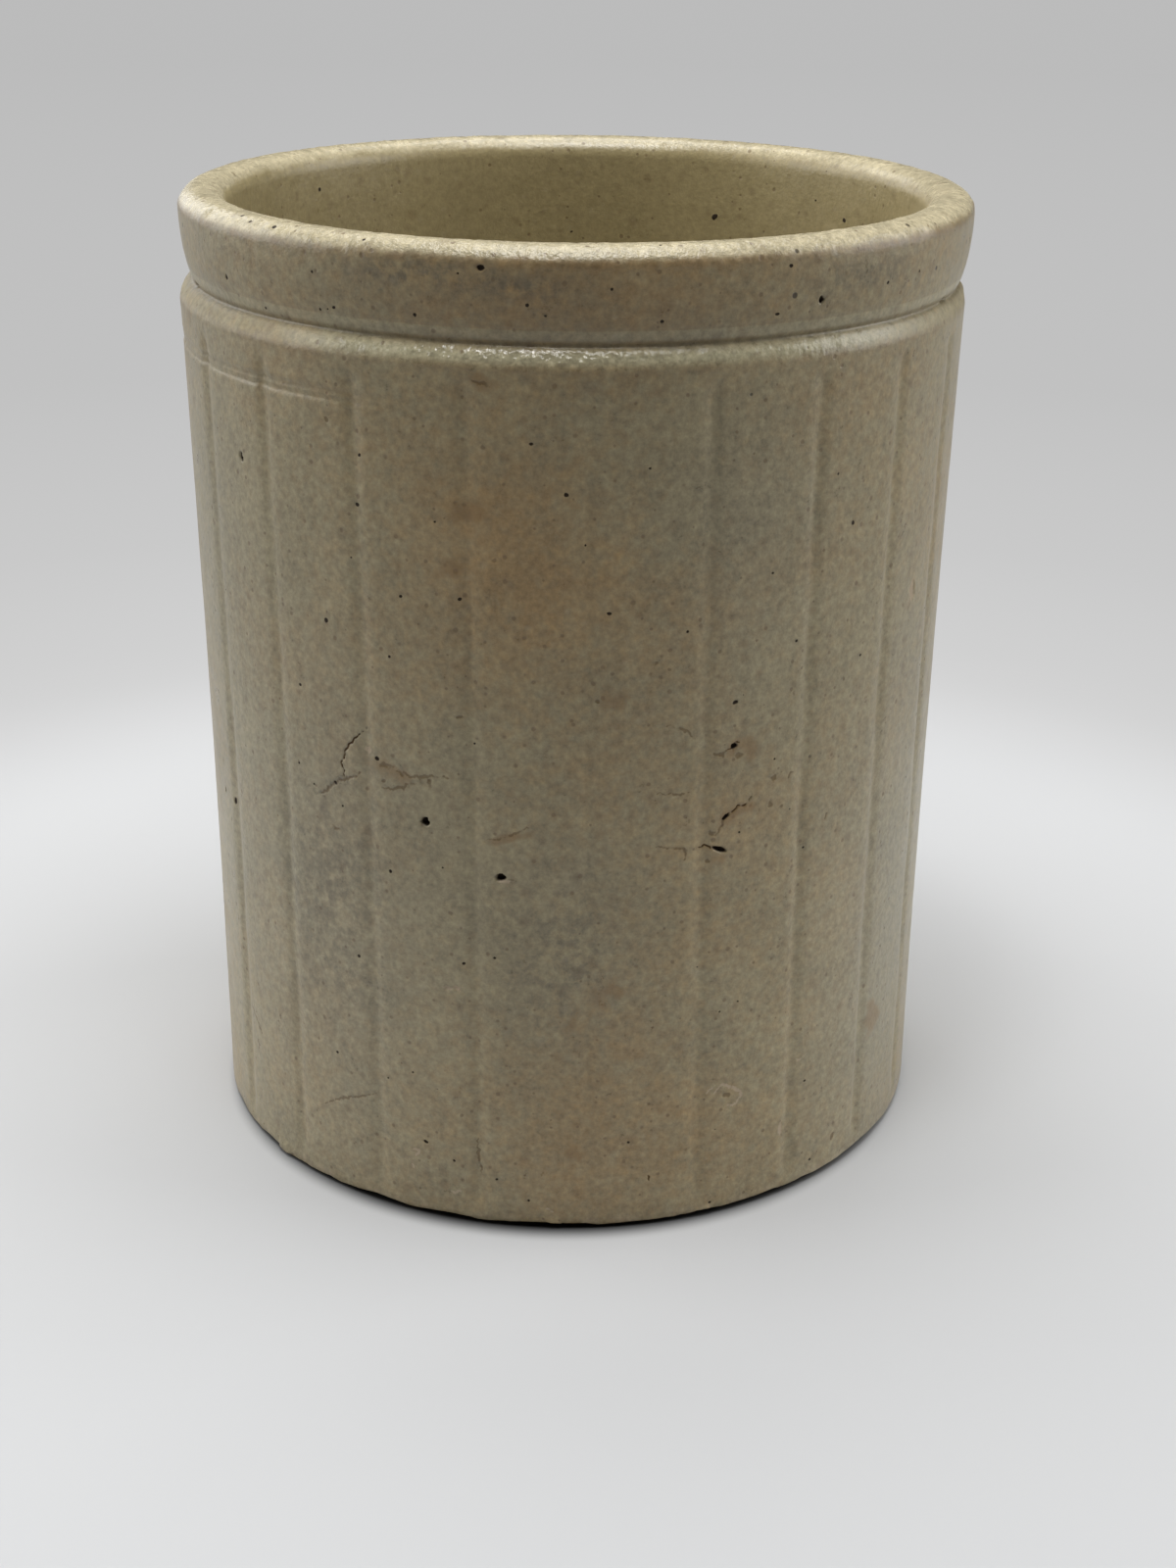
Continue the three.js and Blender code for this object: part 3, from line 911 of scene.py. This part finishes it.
moves = {}
for mark in RUST:
    press_spot(outside_spot(*mark[:2]), mark, "rust", 0.0, 0.8)
for mark in CHIPS:
    press_spot(outside_spot(*mark[:2]), mark, "bare", mark[5], 0.6)
for mark in GRIME:
    press_spot(outside_spot(*mark[:2]), mark, "grime", 0.05, 0.7)
for mark in PITS:
    press_spot(outside_spot(*mark[:2]), mark, "iron", mark[5] * 0.6, 0.28)
for spot, angle, size in dots:
    press_spot(spot, (angle, 0, size, size * 0.9, 0), "iron", 0.03, 0.4)
for kind, half_width, depth, points in LINES:
    press_line(points, kind, half_width, depth)
for mark in FOOT_LUMPS:
    press_spot(outside_spot(*mark[:2]), mark[:4] + (0,), "lump", -mark[4], 0.5)
for mark in NOTCHES:
    press_spot(outside_spot(*mark[:2]), mark[:4] + (0,), "lump", mark[4], 0.5)
for index, move in moves.items():
    corner = body.verts[index]
    corner.co -= Vector((corner.co.x, corner.co.y, 0.0)).normalized() * (move / 1000)

# Corners of the refined parts that would leave slivers or doubled edges are cleared up
body.verts.layers.float.remove(layers["lump"])
for corner in [corner for corner in body.verts if len(corner.link_edges) == 2]:
    bmesh.utils.vert_collapse_edge(corner, corner.link_edges[0])
odd_faces = []
for face in body.faces:
    flattest = max(loop.calc_angle() for loop in face.loops)
    if len(face.verts) > 4 or (len(face.verts) == 4 and flattest > STRAIGHT_ANGLE):
        odd_faces.append(face)
bmesh.ops.triangulate(body, faces=odd_faces)
body.to_mesh(pot.data)
body.free()
pot.data.shade_smooth()

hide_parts("pot_body")
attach(pot, "root")


# Pot, glaze
# A thin satin glaze over iron-speckled clay. It lies thick and pale on the lip and the
# shoulder, runs thin and brown over the edges, and leaves the underside bare.

INSIDE_OF_RIM = 0.0362
PEEL_DEPTH, SAND_DEPTH, LIP_SAND_DEPTH = 0.00005, 0.00004, 0.00010
LUMP_DEPTH, POOL_LUMP_DEPTH = 0.00015, 0.00034
SPECK_DEPTH, PEPPER_DEPTH = 0.00004, 0.00002
RING_DEPTH, COLLAR_LINE_DEPTH = 0.00006, 0.00003
STONE_GREY = (0.335, 0.282, 0.168, 1.0)
WARM_BROWN = (0.352, 0.238, 0.110, 1.0)
PALE_CREAM = (0.595, 0.522, 0.346, 1.0)
SHOULDER_CREAM = (0.502, 0.462, 0.308, 1.0)
COOL_GREY_AND_SIDE_LIGHT = (0.345, 0.318, 0.232, 1.0)
INSIDE_OLIVE = (0.375, 0.308, 0.160, 1.0)
EDGE_BROWN = (0.215, 0.140, 0.070, 1.0)
GROOVE_PAINTED_SHADE = (0.110, 0.090, 0.052, 1.0)
BARE_CLAY = (0.500, 0.420, 0.290, 1.0)
IRON_BLACK = (0.018, 0.009, 0.004, 1.0)
CRACK_BROWN = (0.080, 0.040, 0.012, 1.0)
IRON_BROWN = (0.150, 0.095, 0.048, 1.0)
RUST_BROWN = (0.250, 0.150, 0.060, 1.0)
GRIME_BROWN = (0.120, 0.068, 0.018, 1.0)
COLLAR_GREY = (0.138, 0.120, 0.085, 1.0)
CHIP_PINK = (0.500, 0.400, 0.290, 1.0)
WARM_CLOUDS = (
    (-8.0, 0.0735, 0.0075, 0.0085, 0.62),
    (0.0, 0.0950, 0.0150, 0.0050, 0.55),
    (2.0, 0.0090, 0.0130, 0.0085, 0.42),
    (15.0, 0.0590, 0.0055, 0.0060, 0.30),
    (24.0, 0.0480, 0.0050, 0.0045, 0.28),
)
COOL_CLOUDS_AND_SIDE_LIGHT = (
    (-37.0, 0.0340, 0.0080, 0.0260, 0.45),
    (-64.0, 0.0500, 0.0070, 0.0300, 0.50),
    (60.0, 0.0260, 0.0090, 0.0240, 0.60),
    (27.0, 0.0700, 0.0060, 0.0120, 0.25),
)
SMOKE = (
    (-36.0, 0.0330, 0.0055, 0.0110, 0.50),
    (0.0, 0.0310, 0.0050, 0.0070, 0.55),
    (23.0, 0.0750, 0.0045, 0.0060, 0.24),
    (-20.5, 0.0965, 0.0052, 0.0011, 0.75),
    (-5.0, 0.0957, 0.0035, 0.0009, 0.60),
    (42.0, 0.0955, 0.0060, 0.0011, 0.45),
)


def blended(share, first, second, blend="MIX"):
    """The mix of two colours, either of which may be a flow."""
    mix = add_node(wares, "ShaderNodeMix", data_type="RGBA", blend_type=blend)
    for socket, feed in ((mix.inputs[0], share), (mix.inputs[6], first), (mix.inputs[7], second)):
        feed_socket(socket, feed)
    return Flow(mix.outputs[2])


def noise_at(place, *fineness):
    """Noise of a fineness, about 0."""
    return waves_at(place, *fineness) - 0.5


def shader_group(name, sizes, result):
    """An empty shader node group with named inputs and one output, and its inner sockets."""
    group = bpy.data.node_groups.new(name, "ShaderNodeTree")
    name_inputs(group, sizes)
    group.interface.new_socket(result, in_out="OUTPUT", socket_type="NodeSocketFloat")
    given = {socket.name: Flow(socket) for socket in group.nodes.new("NodeGroupInput").outputs}
    return group, given, group.nodes.new("NodeGroupOutput").inputs[result]


def grit_group():
    """Round grains of a size, thinly strewn: a share of the cells of a spacing holds one."""
    sizes = {
        "Place": (0.0, 0.0, 0.0),
        "Spacing": 0.002,
        "Share": 0.2,
        "Size": 0.0002,
        "Softness": 0.5,
    }
    group, given, result = shader_group("strewn_grit", sizes, "Grit")
    cells = add_node(group, "ShaderNodeTexVoronoi", (given["Place"], 1.0 / given["Spacing"]))
    chance = add_node(group, "ShaderNodeSeparateColor", (Flow(cells.outputs["Color"]),))
    strewn_by, sized_by, _ = (Flow(output) for output in chance.outputs)
    grain = given["Size"] / given["Spacing"] * (0.55 + sized_by * 0.8)
    far = Flow(cells.outputs["Distance"]) / grain
    outer = 1.0 + given["Softness"] * 0.5
    inner = 1.0 - given["Softness"] * 0.5
    held = reckon("LESS_THAN", strewn_by, given["Share"])
    feed_socket(result, ramp(far, inner, outer, 1.0, 0.0) * held)
    return group


def cloud_group():
    """A soft patch of a width and a height about one place on the unrolled wall."""
    sizes = {
        "Across": 0.0,
        "Up": 0.0,
        "Centre Across": 0.0,
        "Centre Up": 0.0,
        "Width": 0.01,
        "Height": 0.01,
        "Strength": 0.5,
    }
    group, given, result = shader_group("soft_cloud", sizes, "Cloud")
    across = bell(given["Across"], given["Centre Across"], given["Width"])
    up = bell(given["Up"], given["Centre Up"], given["Height"])
    feed_socket(result, across * up * given["Strength"])
    return group


glaze.use_nodes = True
wares = glaze.node_tree
coat = wares.nodes["Principled BSDF"]
place = Flow(add_node(wares, "ShaderNodeTexCoord").outputs["Object"])
east, north, up = split(place)
reach = reckon("SQRT", east * east + north * north)
across = reckon("ARCTAN2", east, north * -1.0) * UNROLLED_RADIUS

# Where on the pot: inside, lip, shoulder, groove, underside
top = POT_HEIGHT
lip_drips = noise_at(place, 260.0, 4.0, 0.7) * 0.0011
lip_share = ramp(up + lip_drips, top - 0.00135, top - 0.00060)
inner_share = ramp(reach, INSIDE_OF_RIM, 0.0354) * ramp(up, 0.003, 0.004)
outer_share = ramp(reach, INSIDE_OF_RIM, 0.0368)
shoulder_share = bell(up, shoulder_height + 0.00105, 0.00055) * outer_share
groove_share = bell(up, groove_height + 0.0001, 0.00030) * outer_share
# The collar's downward-facing foot over the groove, where painted light lies
collar_foot_painted_light = ramp(up, groove_height + 0.0015, groove_height + 0.0013)
collar_foot_painted_light = collar_foot_painted_light * ramp(up, groove_height + 0.0003, groove_height + 0.0006) * outer_share
under_share = ramp(up, 0.0006, 0.0003)
frontal = ramp(across, -0.034, -0.018) * ramp(across, 0.024, 0.050, 1.0, 0.0)

# Clouds of warmer brown in the grey
warmth = 0.14 + noise_at(place, 62.0, 4.0, 0.6, 0.4) * 1.5
clouds = cloud_group()


def use_group(group, feeds):
    """Places a node group in the glaze, its inputs fed by name, and gives its result."""
    node = add_node(wares, "ShaderNodeGroup", node_tree=group)
    for name, feed in feeds.items():
        feed_socket(node.inputs[name], feed)
    return Flow(node.outputs[0])


def clouded(total, spots):
    """A share with soft clouds added: each is (angle, height, width, height of it, strength)."""
    for angle, centre, wide, high, strength in spots:
        feeds = {
            "Across": across,
            "Up": up,
            "Centre Across": math.radians(angle) * UNROLLED_RADIUS,
            "Centre Up": centre,
            "Width": wide,
            "Height": high,
            "Strength": strength,
        }
        total = total + use_group(clouds, feeds)
    return total


fine_warmth = noise_at(place, 900.0, 3.0, 0.6)
warmth = clouded(warmth, WARM_CLOUDS) + fine_warmth * 1.5
colour = blended(warmth, STONE_GREY, WARM_BROWN)
# Cooler grey clouds, most towards the sides; their grey is paler than the body's, partly as painted
# light on the sides
colour = blended(clouded(0.0, COOL_CLOUDS_AND_SIDE_LIGHT), colour, COOL_GREY_AND_SIDE_LIGHT)

# Thick pale glaze on lip and shoulder, olive inside, painted light on the collar's foot
colour = blended(inner_share, colour, INSIDE_OLIVE)
# Painted light: the shaded foot of the collar is lightened with the shoulder's cream
colour = blended(collar_foot_painted_light * 0.40, colour, SHOULDER_CREAM)
# The shoulder's pale glaze is partly painted light: far paler at the front, where light falls on
# it, than at the sides
cream_and_front_light = 0.12 + frontal * 0.74
colour = blended(shoulder_share * cream_and_front_light, colour, SHOULDER_CREAM)
colour = blended(lip_share * 0.92, colour, PALE_CREAM)

# Thin brown glaze on the edges, painted shade in the groove
patchy = ramp(noise_at(place, 330.0, 3.0, 0.6), -0.12, 0.12)
rim_edge = bell(up, top - 0.00145, 0.00030) * outer_share
shoulder_edge = bell(up, shoulder_height, 0.00030) * outer_share
edges = (rim_edge * 0.40 + shoulder_edge * 0.28) * (0.35 + patchy)
colour = blended(edges, colour, EDGE_BROWN)
# Painted shade: the groove is darkened where its shadow falls
colour = blended(groove_share * 0.22, colour, GROOVE_PAINTED_SHADE)
foot_edge = ramp(up, 0.0018, 0.0009) * patchy
colour = blended(foot_edge * 0.32, colour, CHIP_PINK)

# Smoky grey patches, most of them on the collar under the lip
smoke = clouded(0.0, SMOKE) * outer_share
smoke = smoke * ramp(noise_at(place, 700.0, 4.0, 0.65), -0.10, 0.12)
colour = blended(smoke, colour, COLLAR_GREY)

# Mottling from a quarter of a millimetre up to a few millimetres, and painted light inside the
# pot, lighter on the right and darker on the left
grain = noise_at(place, 1500.0, 3.0, 0.7)
patch = noise_at(place, 420.0, 3.0, 0.6)
haze = noise_at(place, 130.0)
calm = 1.0 - inner_share * 0.45
light = (grain * 1.22 + patch * 0.26 + haze * 0.34) * calm + 1.0 + inner_share * east * 4.0
mottle_and_painted_light = flow_from(wares, "ShaderNodeCombineXYZ", (light, light, light))
colour = blended(1.0, colour, mottle_and_painted_light, "MULTIPLY")

# Freckles and iron specks in the body, and pale grains
grits = grit_group()


def strewn(spacing, share, size, softness, shift):
    """One kind of grit over the whole pot."""
    moved = (place, (shift, shift * 0.7, shift * 1.3))
    moved = flow_from(wares, "ShaderNodeVectorMath", moved, operation="ADD")
    feeds = {"Place": moved, "Spacing": spacing, "Share": share, "Size": size, "Softness": softness}
    return use_group(grits, feeds)


freckles = strewn(0.0017, 0.40, 0.00042, 1.2, 0.31)
pepper = strewn(0.0009, 0.20, 0.00018, 0.8, 0.57)
specks = strewn(0.0036, 0.17, 0.00024, 0.5, 0.83)
pale_grains = strewn(0.0013, 0.30, 0.00026, 1.0, 1.27)
colour = blended(pale_grains * 0.16, colour, BARE_CLAY)
colour = blended(freckles * 0.26, colour, IRON_BROWN)
colour = blended(pepper * 0.58, colour, IRON_BROWN)
colour = blended(specks * 0.80, colour, IRON_BLACK)

# Marks kept on the mesh
kept = {}
fraying = grain * 0.30 + noise_at(place, 3800.0, 1.0) * 0.22 + noise_at(place, 800.0) * 0.28
for name, fray, edge, soft in (
    ("iron", 0.35, 0.50, 0.09),
    ("rust", 2.2, 0.50, 0.35),
    ("bare", 2.2, 0.55, 0.14),
    ("grime", 2.6, 0.54, 0.22),
    ("crack", 1.3, 0.52, 0.14),
):
    mark = Flow(add_node(wares, "ShaderNodeAttribute", attribute_name=name).outputs["Fac"])
    drawn = ramp(mark + fraying * fray, edge - soft, edge + soft)
    kept[name] = drawn * ramp(mark, 0.02, 0.10)
colour = blended(kept["rust"] * 0.55, colour, RUST_BROWN)
colour = blended(kept["bare"] * 0.8, colour, CHIP_PINK)
colour = blended(kept["grime"] * 0.66, colour, GRIME_BROWN)
colour = blended(kept["crack"] * 0.90, colour, CRACK_BROWN)
colour = blended(kept["iron"] * 0.97, colour, IRON_BLACK)

# Bare clay under the foot
bare_tone = blended(0.5 + fine_warmth, BARE_CLAY, WARM_BROWN)
colour = blended(under_share, colour, bare_tone)
feed_socket(coat.inputs["Base Color"], colour)

# Sheen: satin on the wall, wetter on lip and shoulder, most at the front of the shoulder
wet = reckon("MAXIMUM", lip_share, shoulder_share * frontal)
pooled = ramp(across, -0.0165, -0.0125) * ramp(across, 0.003, 0.011, 1.0, 0.0)
pooled = pooled * shoulder_share * ramp(north, 0.0, -0.01)
matt_side = shoulder_share * (1.0 - frontal)
dull = reckon("MAXIMUM", reckon("MAXIMUM", kept["iron"], kept["bare"]), kept["crack"])
sheen = 0.36 + patch * 0.35 + grain * 0.20 - wet * 0.12 - pooled * 0.16
sheen = sheen + matt_side * 0.30 + dull * 0.60 + under_share * 0.50
feed_socket(coat.inputs["Roughness"], sheen)

# Relief: orange peel, sandy grain, sunk grit, throwing rings inside
peel = noise_at(place, 520.0)
sand = noise_at(place, 2300.0, 2.0, 0.6)
coarse = 0.35 + frontal * 0.65
sandiness = SAND_DEPTH + lip_share * coarse * LIP_SAND_DEPTH
lumpy = noise_at(place, 850.0, 2.0, 0.55) * (wet * coarse)
lumpiness = LUMP_DEPTH + pooled * POOL_LUMP_DEPTH
sunk = specks * SPECK_DEPTH + pepper * PEPPER_DEPTH
ring_place = (east * 0.25, north * 0.25, up + east * 0.10)
rings = noise_at(flow_from(wares, "ShaderNodeCombineXYZ", ring_place), 330.0)
collar_line = bell(up, groove_height + 0.00145, 0.00012) * outer_share
relief = peel * PEEL_DEPTH + sand * sandiness + lumpy * lumpiness - sunk
relief = relief + rings * inner_share * RING_DEPTH - collar_line * COLLAR_LINE_DEPTH
bumps = add_node(wares, "ShaderNodeBump")
bumps.inputs["Strength"].default_value = 1.0
bumps.inputs["Distance"].default_value = 1.0
feed_socket(bumps.inputs["Height"], relief)
feed_socket(coat.inputs["Normal"], Flow(bumps.outputs["Normal"]))
